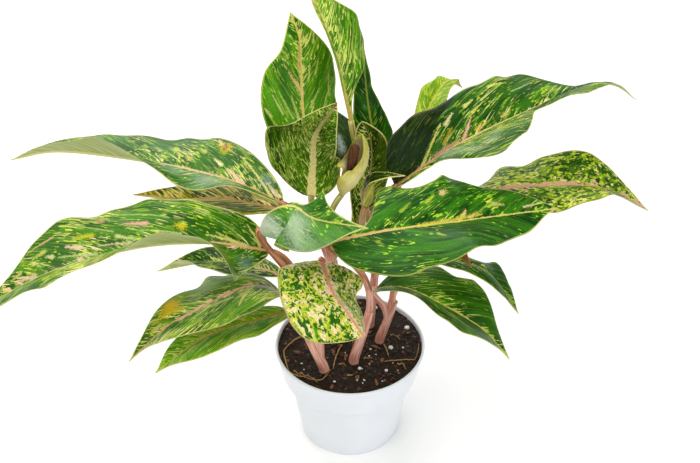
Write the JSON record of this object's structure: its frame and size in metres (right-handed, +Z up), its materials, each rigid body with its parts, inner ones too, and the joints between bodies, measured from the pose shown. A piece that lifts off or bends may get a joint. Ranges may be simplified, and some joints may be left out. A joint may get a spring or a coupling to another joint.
{
  "type": "potted chinese evergreen",
  "caption": "Leafy house plant with streaked green blades on pink stalks, a small hooded flower and a bud, growing in a soil-filled thin plastic nursery pot.",
  "frame": {"origin": "centre of the pot's underside, where it meets the surface it stands on", "axes": "+Z up, +X to the right in the picture, +Y away from the viewer"},
  "size_m": [0.4536, 0.2229, 0.3263],
  "materials": {
    "pot_plastic": "satin white",
    "potting_soil": "moist crumbly soil with white perlite and tan roots",
    "stem_pink": "smooth pink stalks",
    "leaf_green": "glossy green blade with yellow green streaks and a pink rib",
    "leaf_gold": "glossy yellow green blade with dark green streaks",
    "leaf_mottled": "glossy cream blade mottled with green, with a pink rib",
    "leaf_young": "soft light green young blade",
    "leaf_dried": "dry brown rolled leaf tip",
    "spathe_cream": "waxy cream yellow hood",
    "spadix_brown": "matt reddish brown spike",
    "bud_green": "waxy greenish yellow bud"
  },
  "bodies": {
    "root": {"pot": "pot_plastic", "soil": "potting_soil", "shoot_left": "stem_pink", "shoot_front": "stem_pink", "shoot_right": "stem_pink", "shoot_back": "stem_pink", "shoot_centre": "stem_pink", "leaf_left_high": "leaf_green", "leaf_left_middle": "leaf_gold", "leaf_left_long": "leaf_green", "leaf_left_small": "leaf_green", "leaf_left_low": "leaf_green", "leaf_left_lowest": "leaf_green", "leaf_front_hanging": "leaf_mottled", "leaf_front_folded": "leaf_green", "leaf_right_broad": "leaf_green", "leaf_right_high": "leaf_green", "leaf_right_far": "leaf_gold", "leaf_back_young": "leaf_young", "leaf_top_left": "leaf_green", "leaf_top_tall": "leaf_green", "leaf_top_back": "leaf_green", "leaf_centre_cupped": "leaf_green", "leaf_centre_curled": "leaf_green", "leaf_centre_pointed": "leaf_green", "leaf_centre_dark": "leaf_green", "leaf_right_low": "leaf_green", "leaf_right_small": "leaf_green", "leaf_right_dried": "leaf_dried", "spathe": "spathe_cream", "spadix": "spadix_brown", "flower_bud": "bud_green"}
  },
  "joints": []
}
